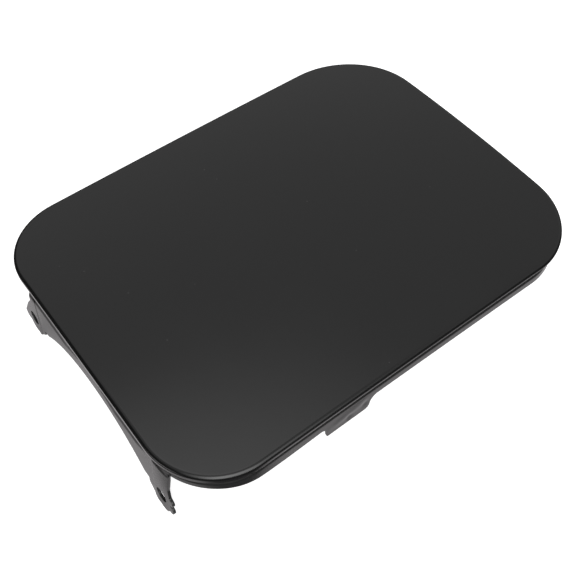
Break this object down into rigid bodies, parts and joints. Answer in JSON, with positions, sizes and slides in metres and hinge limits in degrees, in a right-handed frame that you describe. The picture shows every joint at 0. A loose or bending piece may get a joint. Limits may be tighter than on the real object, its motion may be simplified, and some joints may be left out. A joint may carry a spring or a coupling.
{
  "type": "car fuel door",
  "caption": "Crowned rounded-rectangular fuel filler door with a skirted inner panel and two holed hinge ears.",
  "frame": {"origin": "midway between the centres of the two hinge screw holes, in the middle of the ears' sheet", "axes": "+X along the door from the hinge edge to the free edge, +Y along the hinge, +Z outwards through the outer face"},
  "size_m": [0.2019, 0.1526, 0.0441],
  "materials": {
    "black_primer": "smooth satin black electrocoat primer",
    "black_primer_inner": "satin black electrocoat primer on drawn sheet",
    "structural_adhesive": "cured adhesive",
    "mastic": "matt mastic"
  },
  "bodies": {
    "root": {"outer_skin": "black_primer", "inner_panel": "black_primer_inner", "bond_bead": "structural_adhesive", "mastic_pad_1": "mastic", "mastic_pad_2": "mastic"}
  },
  "joints": []
}
